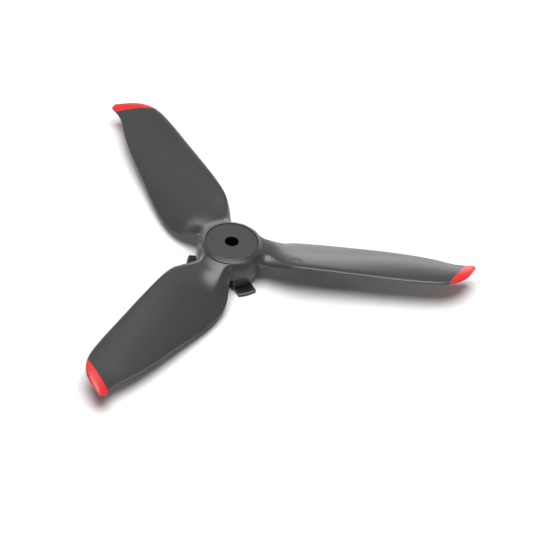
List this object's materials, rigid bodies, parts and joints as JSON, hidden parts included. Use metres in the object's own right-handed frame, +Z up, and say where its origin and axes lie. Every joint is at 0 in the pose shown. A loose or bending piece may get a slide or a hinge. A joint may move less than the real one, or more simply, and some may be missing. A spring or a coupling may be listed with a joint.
{
  "type": "quick-release drone propeller",
  "caption": "Propeller for a small racing drone: broad twisted blades with coloured tips on a short hub with a bayonet lock ring.",
  "frame": {"origin": "centre of the motor socket's mouth, on the spin axis and in the plane of the lock ring's foot", "axes": "+Z up the spin axis, the way the thrust points; +X along blade 1, and blades 2 and 3 every 120 degrees anticlockwise from above"},
  "size_m": [0.1034, 0.1167, 0.0101],
  "materials": {
    "hub_plastic": "satin dark grey moulding",
    "plate_plastic": "flat matte dark grey",
    "ring_plastic": "near-black moulding",
    "blade_plastic": "satin dark grey moulding",
    "tip_colour": "smooth red"
  },
  "bodies": {
    "root": {"hub_body": "hub_plastic", "top_plate": "plate_plastic", "lock_ring": "ring_plastic", "blade_1": "blade_plastic", "blade_2": "blade_plastic", "blade_3": "blade_plastic", "blade_tip_1": "tip_colour", "blade_tip_2": "tip_colour", "blade_tip_3": "tip_colour"}
  },
  "joints": []
}
